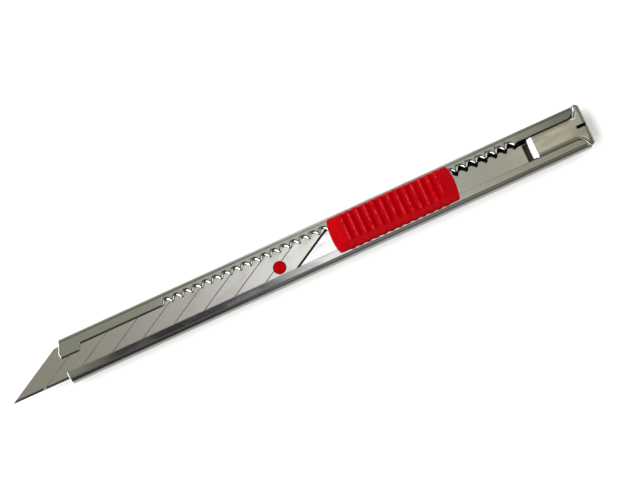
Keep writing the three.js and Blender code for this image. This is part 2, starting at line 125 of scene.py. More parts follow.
class Graph:
    """A node tree with short ways to add and join its nodes."""

    def __init__(self, tree: bpy.types.NodeTree) -> None:
        """Empties the tree, ready for new nodes."""
        tree.nodes.clear()
        self.tree = tree

    def node(self, kind: str, settings: dict | None = None, inputs: dict | None = None,
             output: int | str = 0) -> Value:
        """Adds one node.

        Args:
            kind: the node's type name.
            settings: properties set before anything is linked; "stops" fills a colour ramp.
            inputs: values or links of its sockets, by name or number.
            output: which output to return.

        Returns:
            The chosen output.
        """
        node = self.tree.nodes.new(kind)
        for name, value in (settings or {}).items():
            if name == "stops":
                self._fill_ramp(node.color_ramp, value)
            else:
                setattr(node, name, value)
        for name, value in (inputs or {}).items():
            if isinstance(value, Value):
                self.tree.links.new(value.socket, node.inputs[name])
            else:
                node.inputs[name].default_value = value
        return Value(self, node.outputs[output]) if len(node.outputs) else Value(self, None)

    @staticmethod
    def _fill_ramp(ramp: bpy.types.ColorRamp, stops: Sequence[tuple[float, Colour]]) -> None:
        """Gives a colour ramp its stops, each a place and a colour.

        Args:
            ramp: the ramp to fill.
            stops: the place from 0 to 1 and the colour of each stop.
        """
        while len(ramp.elements) > 1:
            ramp.elements.remove(ramp.elements[-1])
        for i, (place, colour) in enumerate(stops):
            element = ramp.elements[0] if i == 0 else ramp.elements.new(place)
            element.position = place
            element.color = (*colour, 1)

    def place(self, scale: Sequence[float] = (1, 1, 1), turn: float = 0) -> Value:
        """Object coordinates in millimetres, turned about Z and then scaled along each axis.

        Args:
            scale: the factor along each axis.
            turn: the turn about Z, in radians.

        Returns:
            The coordinates.
        """
        coordinate = self.node("ShaderNodeTexCoord", output="Object")
        turned = self.node("ShaderNodeVectorRotate", {"rotation_type": "Z_AXIS"},
                           {"Vector": coordinate, "Angle": turn})
        size = [s / MM for s in scale]
        return self.node("ShaderNodeVectorMath", {"operation": "MULTIPLY"}, {0: turned, 1: size})

    def noise(self, vector: Value, scale: float, detail: float) -> Value:
        """A noise pattern from 0 to 1."""
        return self.node("ShaderNodeTexNoise", None, {
            "Vector": vector, "Scale": scale, "Detail": detail, "Roughness": NOISE_ROUGHNESS}, "Fac")

    def step(self, value: Value, low: float, high: float) -> Value:
        """A smooth step that rises from 0 at low to 1 at high, or falls if high is the smaller.

        Args:
            value: what the step follows.
            low: where it is 0.
            high: where it is 1, on either side of low.

        Returns:
            The step, from 0 to 1.
        """
        if high < low:
            return 1 - self.step(value, high, low)
        return self.node("ShaderNodeMapRange", {"interpolation_type": "SMOOTHSTEP"}, {
            "Value": value, "From Min": low, "From Max": high})

    def mix(self, factor: Number, first: Value | Colour, second: Value | Colour) -> Value:
        """Mixes two colours."""
        ends = [c if isinstance(c, Value) else (*c, 1) for c in (first, second)]
        return self.node("ShaderNodeMix", {"data_type": "RGBA"}, {0: factor, 6: ends[0], 7: ends[1]}, 2)

    def bump(self, height: Value, depth: float, under: Value | None = None) -> Value:
        """A normal bent by a height pattern.

        Args:
            height: the pattern.
            depth: its full swing in millimetres.
            under: a normal to bend further.

        Returns:
            The bent normal.
        """
        inputs = {"Height": height, "Distance": depth * MM, "Strength": 1.0}
        if under is not None:
            inputs["Normal"] = under
        return self.node("ShaderNodeBump", None, inputs)


def new_surface(name: str) -> tuple[bpy.types.Material, Graph]:
    """A new material and the graph of its nodes.

    Args:
        name: the material's name.

    Returns:
        The material and its empty graph.
    """
    material = bpy.data.materials.new(name)
    material.use_nodes = True
    return material, Graph(material.node_tree)


# ---------------------------------------------------------------- finishes


@dataclass(frozen=True)
class Finish:
    """A surface finish. Each kind builds its own nodes in dress()."""

    name: str
    colour: Colour
    roughness: float

    def dress(self, graph: Graph) -> dict:
        """Adds the finish's nodes and returns the shader's inputs."""
        raise NotImplementedError

    @functools.cache
    def material(self) -> bpy.types.Material:
        """The finish as a Blender material, made once.

        Returns:
            The material.
        """
        material, graph = new_surface(self.name)
        shader = graph.node("ShaderNodeBsdfPrincipled", None, self.dress(graph))
        graph.node("ShaderNodeOutputMaterial", None, {"Surface": shader})
        return material


@dataclass(frozen=True)
class RolledSteel(Finish):
    """Steel sheet with drawing lines along X, faint smears, a few scratches and, where given, painted shade
    past one place along one axis.
    """

    line_depth: float = 0.0005
    smear: float = 0.05
    stain: Colour = (0.42, 0.41, 0.36)
    stained: float = 0.35
    # side: a dark colour painted past one place along an axis, painted shade on faces that should look dark
    side: Colour | None = None
    shade_axis: str = "Y"
    shade_from: tuple[float, float] = (-5.5, -5.75)

    def dress(self, graph: Graph) -> dict:
        """Drawing lines in the normal, smears in the roughness, a faint stain in the colour and, where a
        shade colour is given, painted shade past one place.

        Args:
            graph: the material's node graph.

        Returns:
            The shader's inputs, by name.
        """
        lines = graph.noise(graph.place((0.05, 5, 5)), 1.0, 4)
        scratches = graph.noise(graph.place((0.12, 3.1, 3.1), math.radians(7)), 1.0, 2)
        scratch = graph.step(scratches, 0.70, 0.74)
        smears = graph.noise(graph.place((0.10, 0.35, 0.35)), 1.0, 3)
        smear = graph.step(smears, 0.42, 0.68)
        wave = graph.noise(graph.place((0.03, 0.12, 0.12)), 1.0, 2)
        colour = graph.mix(smear * self.stained + scratch * 0.2, self.colour, self.stain)
        # painted shade: past one place along the axis the colour turns to the dark side colour
        if self.side:
            at = graph.node("ShaderNodeSeparateXYZ", None, {0: graph.place()}, self.shade_axis)
            colour = graph.mix(graph.step(at, *self.shade_from), colour, self.side)
        return {
            "Base Color": colour,
            "Metallic": 1.0,
            "Roughness": self.roughness + smear * self.smear + lines * 0.03 + scratch * 0.08,
            "Normal": graph.bump(lines, self.line_depth, graph.bump(wave, 0.006)),
        }


@dataclass(frozen=True)
class GroundBlade(Finish):
    """Blade steel: fine grinding along the strip, a duller ground edge, scores darkened with painted shade
    and an oil film.
    """

    edge_y: float
    bevel: float
    tip: float
    pitch: float
    slant: float
    film: Colour = (0.50, 0.40, 0.31)
    # scored: painted shade in the scores
    scored: Colour = (0.17, 0.15, 0.13)
    ground: Colour = (0.50, 0.50, 0.48)

    def dress(self, graph: Graph) -> dict:
        """Grinding lines in the normal, the edge's cross grinding, dull scores darkened with painted shade
        and a patchy film of oil.

        Args:
            graph: the material's node graph.

        Returns:
            The shader's inputs, by name.
        """
        along = graph.node("ShaderNodeSeparateXYZ", None, {0: graph.place()}, "X")
        across = graph.node("ShaderNodeSeparateXYZ", None, {0: graph.place()}, "Y")
        past_tip = along - self.tip - (across - self.edge_y) * (1 / math.tan(self.slant))
        from_score = graph.node("ShaderNodeMath", {"operation": "PINGPONG"}, {0: past_tip, 1: self.pitch / 2})
        score = graph.step(from_score, 0.24, 0.1)
        on_edge = graph.step(across, self.edge_y + self.bevel + 0.02, self.edge_y + self.bevel - 0.02)
        along_lines = graph.noise(graph.place((0.04, 7, 7)), 1.0, 3)
        cross_lines = graph.noise(graph.place((9, 0.3, 0.3), math.radians(-4)), 1.0, 3)
        patches = graph.noise(graph.place((0.06, 0.16, 0.16), math.radians(-30)), 1.0, 4)
        film = graph.step(patches, 0.45, 0.72)
        plain = graph.mix(film * 0.35, self.colour, self.film)
        # painted shade along the scores
        marked = graph.mix(score * 0.6, plain, self.scored)
        return {
            "Base Color": graph.mix(on_edge, marked, self.ground),
            "Metallic": 1.0,
            "Roughness": self.roughness + film * 0.06 + along_lines * 0.04 + on_edge * 0.04 + score * 0.15,
            "Normal": graph.bump(along_lines * (1 - on_edge) + cross_lines * on_edge, 0.0008),
        }


@dataclass(frozen=True)
class Moulding(Finish):
    """Moulded plastic with a fine mould grain, worn a little smoother and paler where it is rubbed, with a
    painted highlight along the rib crests.
    """

    worn: Colour = (0.33, 0.003, 0.008)
    # crest: a paler colour on the rib crests, a painted highlight
    crest: Colour = (0.46, 0.022, 0.036)
    crest_highlight_from: tuple[float, float] = (9.555, 9.59)
    specular: float = 0.01

    def dress(self, graph: Graph) -> dict:
        """Mould grain in the normal, rubbed patches in colour and roughness, and a painted highlight in
        patches on the crests.

        Args:
            graph: the material's node graph.

        Returns:
            The shader's inputs, by name.
        """
        grain = graph.noise(graph.place(), 9.0, 3)
        patches = graph.noise(graph.place((0.6, 0.9, 0.9)), 1.0, 3)
        rubbed = graph.step(patches, 0.5, 0.72)
        cloud = graph.noise(graph.place((0.12, 0.12, 0.12)), 1.0, 2)
        height = graph.node("ShaderNodeSeparateXYZ", None, {0: graph.place()}, "Z")
        highlight_patches = graph.step(graph.noise(graph.place((0.7, 1.3, 1.3)), 1.0, 3), 0.36, 0.66)
        plain = graph.mix(rubbed * 0.15, self.colour, self.worn)
        return {
            # painted highlight: faces above one height turn to the crest colour, in noise patches
            "Base Color": graph.mix(graph.step(height, *self.crest_highlight_from) * highlight_patches, plain, self.crest),
            "Roughness": self.roughness - rubbed * 0.08 + grain * 0.1 + cloud * 0.05,
            "Specular IOR Level": self.specular,
            "Normal": graph.bump(grain, 0.004),
        }


@dataclass(frozen=True)
class PaleFloor(Finish):
    """A plain pale floor."""

    def dress(self, graph: Graph) -> dict:
        """A very faint mottle.

        Args:
            graph: the material's node graph.

        Returns:
            The shader's inputs, by name.
        """
        mottle = graph.noise(graph.place((0.02, 0.02, 0.02)), 1.0, 2)
        darker = tuple(c * 0.985 for c in self.colour)
        return {"Base Color": graph.mix(mottle, self.colour, darker), "Roughness": self.roughness}


# Inside faces: the roughness and lines are the mill surface, the near-black colour is painted shade under the
# lips, on the inner walls, at the window and on clip faces facing the sleeve
MILL_AND_SHADE_STEEL = RolledSteel(
    "mill_and_painted_shade", (0.10, 0.10, 0.085), 0.38, line_depth=0.003, stain=(0.05, 0.045, 0.035))
# Near-black painted shade for the carrier's tongue, so the gap behind the blade's tail looks dark
SHADE_BLACK_STEEL = RolledSteel("painted_shade_black", (0.035, 0.035, 0.04), 0.3, stain=(0.06, 0.045, 0.03))
# side: painted shade, a darker colour on the sleeve's side wall on the cutting-edge side
SLEEVE_STEEL = RolledSteel("polished_sleeve", (0.62, 0.62, 0.59), 0.035, side=(0.16, 0.155, 0.155))
# side: painted shade, a darker colour on the clip's end wall
CLIP_STEEL = RolledSteel(
    "polished_clip", (0.66, 0.64, 0.59), 0.06, side=(0.14, 0.14, 0.12), shade_axis="X", shade_from=(82.3, 82.5))
CARRIER_STEEL = RolledSteel(
    "polished_carrier", (0.70, 0.70, 0.70), 0.05, stain=(0.36, 0.38, 0.43), stained=0.8)
SPRING_STEEL = RolledSteel("plain_spring", (0.42, 0.42, 0.41), 0.28)
RIVET_STEEL = RolledSteel("turned_rivet", (0.55, 0.55, 0.54), 0.25)
RED_PLASTIC = Moulding("red_plastic", (0.30, 0.0, 0.002), 0.3)
FLOOR = PaleFloor("pale_floor", (0.93, 0.93, 0.93), 0.6)


# ---------------------------------------------------------------- mesh work


@dataclass
class Datum:
    """The reference from which pieces are drawn: the middle of the sleeve's back."""

    reach: float = 75.0
    place: Vector = field(init=False)

    def __post_init__(self) -> None:
        """Finds the reference in the frame from the sleeve's box."""
        low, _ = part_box("sleeve")
        self.place = Vector((low.x + self.reach * MM, 0, low.z))

    def metres(self, points: np.ndarray) -> np.ndarray:
        """Turns points in millimetres from the reference into metres in the frame."""
        return points * MM + np.array(self.place)


@dataclass
class Piece:
    """A mesh with the finish, body and nodes that it stands for."""

    name: str
    finish: Finish
    slot: Slot
    body: Body
    replaces: tuple[str, ...]
    smooth_angle: float = 35.0

    def build(self, vertices: np.ndarray, faces: Sequence[Sequence[int]],
              inside: Callable[[bpy.types.MeshPolygon], bool] | None = None) -> bpy.types.Object:
        """Makes the object from vertices in metres.

        Args:
            vertices: an array of points.
            faces: lists of vertex numbers.
            inside: tells which faces get the dull mill surface, darkened with painted shade.

        Returns:
            The finished object, riding on its body.
        """
        mesh = bpy.data.meshes.new(self.name)
        mesh.from_pydata([tuple(v) for v in vertices], [], [tuple(f) for f in faces])
        shape = bmesh.new()
        shape.from_mesh(mesh)
        bmesh.ops.recalc_face_normals(shape, faces=shape.faces)
        shape.to_mesh(mesh)
        shape.free()
        mesh.validate()
        piece = bpy.data.objects.new(self.name, mesh)
        bpy.context.scene.collection.objects.link(piece)
        self.finish_off(piece)
        if inside:
            # the chosen faces get the mill surface darkened with painted shade
            mesh.materials.append(MILL_AND_SHADE_STEEL.material())
            for face in mesh.polygons:
                face.material_index = int(inside(face))
        return piece

    def finish_off(self, piece: bpy.types.Object) -> None:
        """Shades, dresses and mounts an object.

        Args:
            piece: the object.
        """
        piece.data.shade_smooth()
        piece.data.set_sharp_from_angle(angle=math.radians(self.smooth_angle))
        piece.data.materials.clear()
        piece.data.materials.append(self.finish.material())
        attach(piece, self.body.value)
        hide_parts(*self.replaces)
        LOG.info("%s: %d faces, on %s", self.name, len(piece.data.polygons), self.body.value)


def shell(middle: np.ndarray, over: np.ndarray, under: np.ndarray,
          windows: Sequence[tuple[range, range]] = ()) -> tuple[np.ndarray, list[list[int]]]:
    """A closed sheet between two offsets of a grid of points.

    Args:
        middle: rows of columns of points.
        over: offset vectors to the outer face.
        under: offset vectors to the inner face.
        windows: holes through the sheet, each the rows and columns of the cells left out.

    Returns:
        The points and the faces.
    """
    rows, columns = middle.shape[:2]
    points = np.concatenate([(middle + over).reshape(-1, 3), (middle + under).reshape(-1, 3)])
    gap = rows * columns
    missing = {(i, j) for r, c in windows for i in r for j in c}
    faces = []

    def at(i: int, j: int) -> int:
        """The number of a point on the outer face."""
        return i * columns + j

    def solid(i: int, j: int) -> bool:
        """Whether a cell of the grid is part of the sheet."""
        return 0 <= i < rows - 1 and 0 <= j < columns - 1 and (i, j) not in missing

    def wall(first: int, second: int) -> None:
        """Closes the sheet's edge between two neighbouring points."""
        faces.append([first, second, second + gap, first + gap])

    for i in range(rows - 1):
        for j in range(columns - 1):
            if (i, j) not in missing:
                cell = [at(i, j), at(i + 1, j), at(i + 1, j + 1), at(i, j + 1)]
                faces.append(cell)
                faces.append([v + gap for v in reversed(cell)])
    for i in range(rows - 1):
        for j in range(columns):
            if solid(i, j) != solid(i, j - 1):
                wall(at(i, j), at(i + 1, j))
    for i in range(rows):
        for j in range(columns - 1):
            if solid(i, j) != solid(i - 1, j):
                wall(at(i, j), at(i, j + 1))
    return points, faces


def eased(distance: np.ndarray | float, radius: float) -> np.ndarray | float:
    """How far a rounded edge has fallen away at a distance from it: radius at 0, nothing past radius."""
    inside = np.clip(radius - np.asarray(distance, float), 0, radius)
    return radius - np.sqrt(radius ** 2 - inside ** 2)


def arc(centre: tuple[float, float], radius: float, start: float, end: float, steps: int) -> list:
    """Points on an arc as (y, z, normal y, normal z), angles in degrees.

    Args:
        centre: its centre in Y and Z.
        radius: its radius.
        start: its first angle.
        end: its last angle.
        steps: how many equal parts it has.

    Returns:
        The points, ends included.
    """
    angles = np.radians(np.linspace(start, end, steps + 1))
    return [(centre[0] + radius * math.cos(a), centre[1] + radius * math.sin(a), math.cos(a), math.sin(a))
            for a in angles]


def filleted(points: Sequence[tuple[float, float]], radii: Sequence[float], steps: int = 6) -> np.ndarray:
    """Rounds the inner corners of a line of points in a plane.

    Args:
        points: the corners, with both ends.
        radii: a radius for each inner corner.
        steps: how many parts each rounding has.

    Returns:
        The points of the rounded line.
    """
    line = [Vector(points[0])]
    for i in range(1, len(points) - 1):
        corner = Vector(points[i])
        before = Vector(points[i - 1]) - corner
        after = Vector(points[i + 1]) - corner
        half = before.angle(after) / 2
        back = min(radii[i - 1] / math.tan(half), before.length * 0.49, after.length * 0.49)
        start = corner + before.normalized() * back
        end = corner + after.normalized() * back
        for k in range(steps + 1):
            t = k / steps
            line.append(start * (1 - t) ** 2 + corner * (2 * t * (1 - t)) + end * t ** 2)
    line.append(Vector(points[-1]))
    return np.array([tuple(p) for p in line])


def cut(piece: bpy.types.Object, cutter: bpy.types.Object) -> None:
    """Cuts one mesh out of another and removes the cutter.

    Args:
        piece: the object that is cut.
        cutter: the object cut out of it.
    """
    modifier = piece.modifiers.new("cut", "BOOLEAN")
    modifier.operation = "DIFFERENCE"
    modifier.solver = "EXACT"
    modifier.object = cutter
    bpy.context.view_layer.update()
    result = bpy.data.meshes.new_from_object(piece.evaluated_get(bpy.context.evaluated_depsgraph_get()))
    piece.modifiers.clear()
    piece.data = result
    bpy.data.objects.remove(cutter)


def spun(profile: Sequence[tuple[float, float]], centre: tuple[float, float],
         steps: int = 56) -> tuple[np.ndarray, list[list[int]]]:
    """A turned solid from (radius, height) points that start and end on its axis.

    Args:
        profile: the points, from the bottom up.
        centre: the axis's place in X and Y.
        steps: how many parts a turn has.

    Returns:
        The points and the faces.
    """
    points = [(centre[0], centre[1], profile[0][1])]
    rings = profile[1:-1]
    for radius, height in rings:
        for k in range(steps):
            turn = 2 * math.pi * k / steps
            points.append((centre[0] + radius * math.cos(turn), centre[1] + radius * math.sin(turn), height))
    points.append((centre[0], centre[1], profile[-1][1]))
    faces = []
    last = len(points) - 1
    for k in range(steps):
        after = (k + 1) % steps
        faces.append([0, 1 + after, 1 + k])
        for ring in range(len(rings) - 1):
            a, b = 1 + ring * steps, 1 + (ring + 1) * steps
            faces.append([a + k, a + after, b + after, b + k])
        top = 1 + (len(rings) - 1) * steps
        faces.append([top + k, top + after, last])
    return np.array(points), faces


# ---------------------------------------------------------------- the knife


@dataclass
class Sleeve:
    """The bent channel: rounded bends, a toothed lip, a nose tab and a relief for the clip's cap."""

    datum: Datum
    sheet: float = 0.6
    width: float = 12.0
    height: float = 3.6
    bend: float = 0.9
    front: float = -75.0
    rear: float = 74.4
    lower_lip: float = -3.1
    upper_lip: float = 2.7
    rear_lip: float = 3.1
    nose_tab: float = 1.05
    nose_tab_rear: float = -68.7
    pitch: float = 2.8
    teeth: int = 36
    notch_depth: float = 1.0
    lean: float = 0.33
    first_notch: float = -43.7
    window: tuple[float, float, float] = (57.45, 59.05, 2.6)
    edge_round: float = 0.1
    tooth_roll: float = 0.6
    tooth_droop: float = 0.15
    lower_sag: float = 0.05
    upper_sag: float = 0.025
    corner: float = 1.3
    tab_ramp: float = 0.8
    wave_gain: float = 1.3
    end_zone: float = 4.0

    def lip_edge(self, x: float) -> float:
        """The wide lip's inner edge at a place along the sleeve.

        Args:
            x: the place along the sleeve.

        Returns:
            The edge's place across the sleeve.
        """
        start = self.first_notch - self.pitch / 2
        end = start + self.teeth * self.pitch
        if x < self.nose_tab_rear:
            share = np.clip((x - self.nose_tab_rear + self.tab_ramp) / self.tab_ramp, 0, 1)
            return self.nose_tab + (self.upper_lip - self.nose_tab) * share
        if x < start:
            return self.upper_lip
        if x < end:
            phase = 2 * math.pi * (x - self.first_notch) / self.pitch
            wave = self.wave_gain * math.cos(phase + self.lean * (math.cos(phase) - 1))
            return self.upper_lip + self.notch_depth * (1 + np.clip(wave, -1, 1)) / 2
        return self.upper_lip + (self.rear_lip - self.upper_lip) * min(x - end, 1)

    def front_edge(self, y: float) -> float:
        """Where the sleeve's front end lies at a place across it.

        Args:
            y: the place across the sleeve.

        Returns:
            The end's place along the sleeve.
        """
        low = -self.width / 2 + self.corner
        straight = self.front + 0.3
        if y < low:
            return straight + self.corner - math.sqrt(max(self.corner ** 2 - (y - low) ** 2, 0))
        if y < self.nose_tab:
            return straight
        setback = np.array([0.3, 0, 0.8, 1.7])
        return float(np.interp(y, [self.nose_tab, 2.8, 3.95, 6.0], setback + self.front))

    def rear_edge(self, y: float, z: float) -> float:
        """Where the sleeve's rear end lies: short of the cap above, rounded in plan below.

        Args:
            y: the place across the sleeve.
            z: the height above its back.

        Returns:
            The end's place along the sleeve.
        """
        if z > 2.75:
            across = [2.9, 3.15, 3.6, 4.2, 5.0, 6.1]
            return float(np.interp(abs(y), across, [70.9, 71.3, 72.3, 72.9, 73.2, 73.35]))
        over = max(abs(y) - (self.width / 2 - self.corner), 0)
        return self.rear - self.corner + math.sqrt(max(self.corner ** 2 - over ** 2, 0))

    def stations(self) -> np.ndarray:
        """Places along the sleeve for the rows of the mesh.

        Returns:
            The places, in order.
        """
        ends = np.array([0, 0.03, 0.08, 0.16, 0.5, 1.2, 2.2, 3.2])
        tab = self.nose_tab_rear - self.tab_ramp + np.array([-0.3, -0.05, 0.05, 0.25, 0.5, 0.75, 0.85, 1.2])
        start = self.first_notch - self.pitch / 2
        notches = start + np.arange(self.teeth * 10 + 1) * self.pitch / 10
        plain = np.linspace(self.nose_tab_rear + 2, start - 1, 9)
        after = np.array([start - 0.05, notches[-1] + 0.05, self.window[0], self.window[1], 60.5, 63, 66, 69])
        places = [self.front + ends, tab, plain, notches, notches[-1:] + 1, after, self.rear - ends]
        return np.unique(np.round(np.concatenate(places), 4))

    def section(self, x: float) -> list[tuple[float, float, float, float, float]]:
        """The middle of the sheet round the channel.

        Args:
            x: the place along the sleeve.

        Returns:
            Points as (y, z, normal y, normal z, how far the edge rounding has thinned the sheet).
        """
        mid = self.bend - self.sheet / 2
        wall = self.width / 2 - self.bend
        roof = self.height - self.sheet / 2
        upper, lower = self.height - self.bend, self.bend
        edge = self.lip_edge(x)
        start = self.first_notch - self.pitch / 2
        toothed = start - 0.01 < x < start + self.teeth * self.pitch + 0.01
        slope = (self.lip_edge(x + 0.05) - self.lip_edge(x - 0.05)) / 0.1 if toothed else 0
        points = []
        share = min((4.7 - edge) / 1.2, 1)
        for d in np.array([0, 0.03, 0.06, 0.1, 0.22, 0.36, 0.52, 0.7, 0.9, 1.15]) * share:
            y = edge + d
            inward = max(1 - d / math.hypot(1, slope) / self.tooth_roll, 0)
            fall = self.tooth_droop * inward ** 2 if toothed else 0
            points.append((y, roof - self.upper_sag * (wall - y) - fall, 0, 1, eased(d, self.edge_round)))
        points += [(y, roof - self.upper_sag * (wall - y), 0, 1, 0) for y in (4.75, 4.9, 5.04)]
        for around in (
            arc((wall, upper), mid, 90, 0, 6), arc((wall, lower), mid, 0, -90, 6),
            [(y, self.sheet / 2, 0, -1) for y in (4.9, 4, self.window[2], 1, -1, -self.window[2], -4, -4.9)],
            arc((-wall, lower), mid, -90, -180, 6), arc((-wall, upper), mid, 180, 90, 6),
        ):
            points += [(*p, 0) for p in around]
        length = self.lower_lip + wall
        for d in (length - 0.06, length - 0.2, 0.5 * length, 0.7, 0.34, 0.1, 0.06, 0.03, 0):
            y = self.lower_lip - d
            sag = self.lower_sag * (y + wall)
            points.append((y, roof - sag, 0, 1, eased(d, self.edge_round)))
        return points

    def build(self) -> bpy.types.Object:
        """Builds the sleeve row by row, then trims its ends to their outlines.

        Returns:
            The finished object.
        """
        rows, outward = [], []
        stations = self.stations()
        zone = self.end_zone
        for x in stations:
            end_gap = min(x - self.front, self.rear - x)
            row, normals = [], []
            for y, z, ny, nz, thin in self.section(x):
                place = x
                if x < self.front + zone:
                    start = self.front_edge(y)
                    place = start + (x - self.front) * (self.front + zone - start) / zone
                if x > self.rear - zone:
                    end = self.rear_edge(y, z)
                    place = end - (self.rear - x) * (end - self.rear + zone) / zone
                half = self.sheet / 2 - max(thin, eased(end_gap, self.edge_round))
                row.append((place, y, z))
                normals.append((0, ny * half, nz * half))
            rows.append(row)
            outward.append(normals)
        middle, over = np.array(rows), np.array(outward)
        ys, zs = middle[0, :, 1], middle[0, :, 2]
        first, last, half_window = self.window
        floor = [j for j in range(len(ys) - 1)
                 if zs[j] < self.sheet / 2 + 0.01 and abs(ys[j] + ys[j + 1]) / 2 < half_window]
        inside = [i for i in range(len(stations) - 1) if first - 0.01 < stations[i] < last - 0.01]
        hole = (range(inside[0], inside[-1] + 1), range(floor[0], floor[-1] + 1))
        points, faces = shell(middle, over, -over, [hole])
        piece = Piece("sleeve_channel", SLEEVE_STEEL, Slot.SLEEVE, Body.SLEEVE, ("sleeve",))
        return piece.build(self.datum.metres(points), faces, self.is_inside)

    def is_inside(self, face: bpy.types.MeshPolygon) -> bool:
        """Whether a face looks into the channel from a wall or a lip.

        Args:
            face: a face of the sleeve.

        Returns:
            True for a face that gets the mill surface darkened with painted shade.
        """
        height = (face.center.z - self.datum.place.z) / MM
        across = face.center.y / MM
        under_lip = face.normal.z < 0.2 and height > self.height - self.sheet - 0.3 and abs(across) < 5.1
        inner_wall = height > self.sheet and abs(across) > 4.9 and face.normal.y * across < -0.1
        window_cut = height < self.sheet and abs(face.normal.z) < 0.3 and abs(across) < 4
        return under_lip or inner_wall or window_cut


@dataclass
class Blade:
    """The scored strip with its ground edge and the hole for the stud."""

    datum: Datum
    width: float = 9.0
    thickness: float = 0.38
    slant: float = math.radians(30)
    pitch: float = 8.76
    segments: int = 9
    tip: float = -91.0
    edge_y: float = -4.7
    bottom: float = 2.35
    bevel: float = 0.55
    score_half: float = 0.13
    score_depth: float = 0.06
    hole: tuple[float, float, float] = (-13.1, -0.95, 1.74)

    def build(self) -> bpy.types.Object:
        """Builds the strip in its slanted rows and cuts the hole.

        Returns:
            The finished object.
        """
        marks = [-3.6, -2.4, -1.6, -1.0, -0.35, 0, 0.35, 1.0, 1.6, 2.4, 3.6]
        depths = [0, 0, 0, -0.06, 0.75, 1, 0.75, -0.06, 0, 0, 0]
        along, sunk = [0.0], [0.0]
        for k in range(1, self.segments):
            for mark, depth in zip(marks, depths):
                along.append(k * self.pitch + mark * self.score_half)
                sunk.append(depth * self.score_depth)
            along.append((k + 0.5) * self.pitch)
            sunk.append(0.0)
        along.append(self.segments * self.pitch)
        sunk.append(0.0)
        across = np.array([0, 0.05, 0.3, self.bevel - 0.03, self.bevel + 0.03, 2, 4, 6, 8, 8.9, self.width])
        half = self.thickness / 2
        taper = np.interp(across, [0, self.bevel, 8.92, self.width], [0.012, half, half, half - 0.05])
        s, w = np.meshgrid(along, across, indexing="ij")
        middle = np.stack([self.tip + s + w / math.tan(self.slant), self.edge_y + w,
                           np.full_like(s, self.bottom + half)], -1)
        over, under = np.zeros_like(middle), np.zeros_like(middle)
        depth = np.array(sunk)[:, None] * np.clip(taper / half, 0, 1)[None, :]
        over[..., 2] = taper[None, :] - depth
        under[..., 2] = -taper[None, :]
        points, faces = shell(middle, over, under)
        finish = GroundBlade(
            "ground_blade", (0.64, 0.63, 0.61), 0.08, edge_y=self.edge_y, bevel=self.bevel,
            tip=self.tip + self.datum.place.x / MM, pitch=self.pitch, slant=self.slant)
        piece = Piece("scored_blade", finish, Slot.BLADE, Body.CARRIER, ("snap_blade",), smooth_angle=8)
        blade = piece.build(self.datum.metres(points), faces)
        cut(blade, self.hole_cutter())
        blade.data.set_sharp_from_angle(angle=math.radians(8))
        return blade

    def hole_cutter(self) -> bpy.types.Object:
        """A round cutter for the stud's hole, with a small lead at the top face.

        Returns:
            The cutter.
        """
        x, y, radius = self.hole
        top = self.bottom + self.thickness
        lead = radius + 0.06
        profile = [(0, 1), (radius, 1), (radius, top - 0.05), (lead, top + 0.01), (lead, 4), (0, 4)]
        points, faces = spun(profile, (x, y))
        mesh = bpy.data.meshes.new("hole_cutter")
        mesh.from_pydata([tuple(p) for p in self.datum.metres(points)], [], faces)
        cutter = bpy.data.objects.new("hole_cutter", mesh)
        bpy.context.scene.collection.objects.link(cutter)
        return cutter


@dataclass
class Stud:
    """The red moulded stud that carries the blade."""

    datum: Datum
    centre: tuple[float, float] = (-13.1, -0.95)
    radius: float = 1.6
    flange: float = 2.3
    bottom: float = 1.05
    crown: float = 2.83

    def build(self) -> bpy.types.Object:
        """Turns the stud, with a soft crown round a shallow dish.

        Returns:
            The finished object.
        """
        r = self.radius
        profile = [
            (0, self.bottom), (self.flange - 0.1, self.bottom), (self.flange, self.bottom + 0.1),
            (self.flange, self.bottom + 0.35), (r, self.bottom + 0.35), (r, self.crown - 0.1),
            (r - 0.05, self.crown + 0.03), (r - 0.16, self.crown + 0.1), (r - 0.35, self.crown + 0.13),
            (r - 0.55, self.crown + 0.12), (r - 0.75, self.crown + 0.05), (0.3, self.crown + 0.02),
            (0, self.crown + 0.02),
        ]
        points, faces = spun(profile, self.centre)
        piece = Piece("blade_stud_moulding", RED_PLASTIC, Slot.MOULDING, Body.CARRIER, ("blade_stud",))
        return piece.build(self.datum.metres(points), faces)


